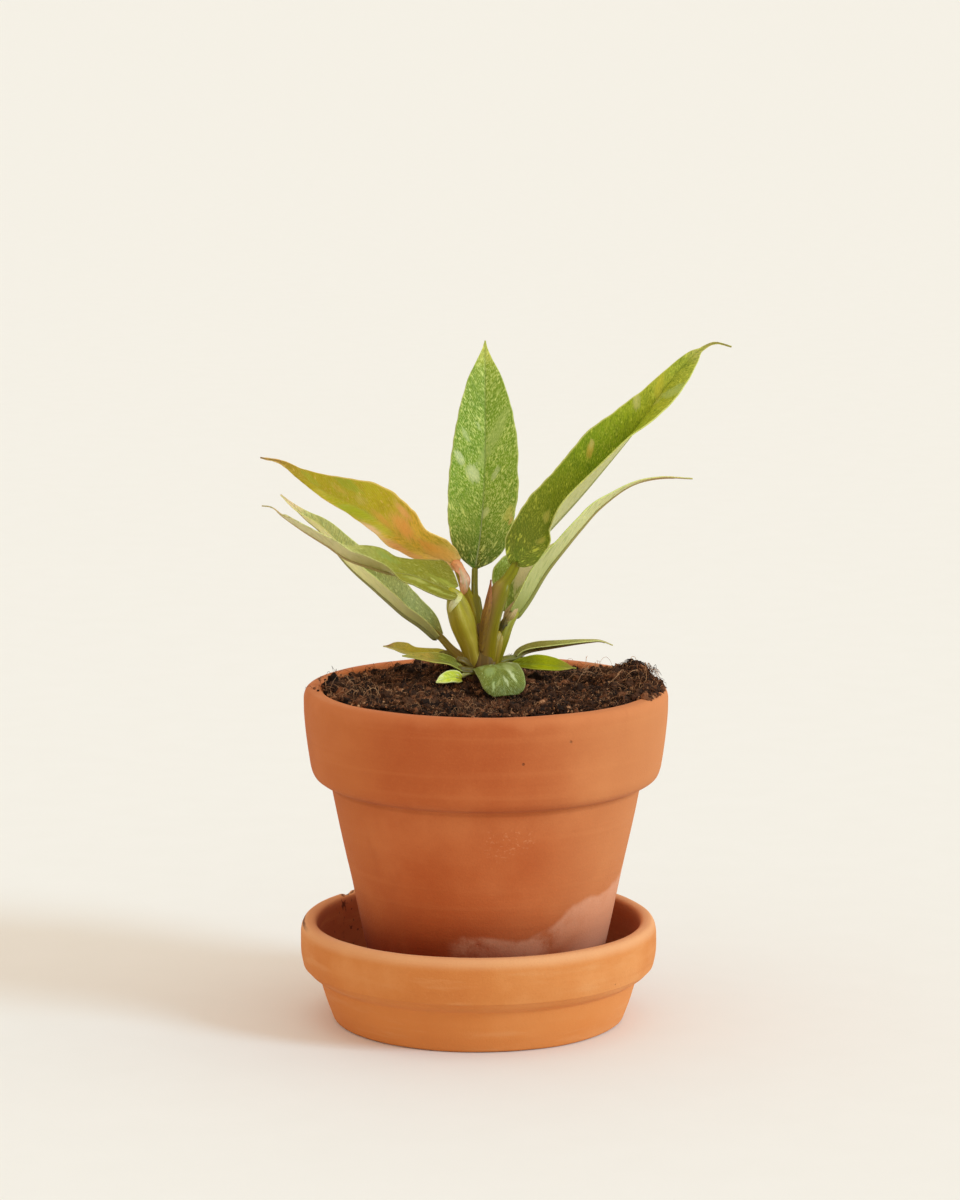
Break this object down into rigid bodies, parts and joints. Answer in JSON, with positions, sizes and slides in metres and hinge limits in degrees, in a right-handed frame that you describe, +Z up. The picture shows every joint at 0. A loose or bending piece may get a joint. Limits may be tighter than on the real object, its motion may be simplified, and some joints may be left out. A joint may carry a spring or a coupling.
{
  "type": "potted ring of fire philodendron",
  "caption": "Young ring of fire philodendron with lance-shaped variegated leaves, in a terracotta pot of soil standing on its saucer.",
  "frame": {"origin": "centre of the saucer's flat underside, on the surface that the part stands on", "axes": "+Z up, +X to the right of the picture's view, the view looks along +Y"},
  "size_m": [0.1382, 0.108, 0.2031],
  "materials": {
    "terracotta_pot": "matte",
    "terracotta_saucer": "matte",
    "potting_soil": "matte",
    "stalk": "satin",
    "dry_sheath": "matte",
    "leaf_green": "satin",
    "leaf_olive": "satin",
    "leaf_orange": "satin",
    "leaf_lime": "satin"
  },
  "bodies": {
    "root": {"saucer": "terracotta_saucer", "pot": "terracotta_pot", "soil": "potting_soil", "crown": "stalk", "sheath": "dry_sheath", "leaf_upright": "leaf_green", "leaf_right_large": "leaf_olive", "leaf_right_slim": "leaf_green", "leaf_left_orange": "leaf_orange", "leaf_left_green": "leaf_olive", "leaf_left_folded": "leaf_green", "leaf_low_left_back": "leaf_olive", "leaf_low_left_front": "leaf_green", "leaf_low_oval": "leaf_lime", "leaf_front": "leaf_green", "leaf_low_right_bright": "leaf_lime", "leaf_low_right_slim": "leaf_green"}
  },
  "joints": []
}
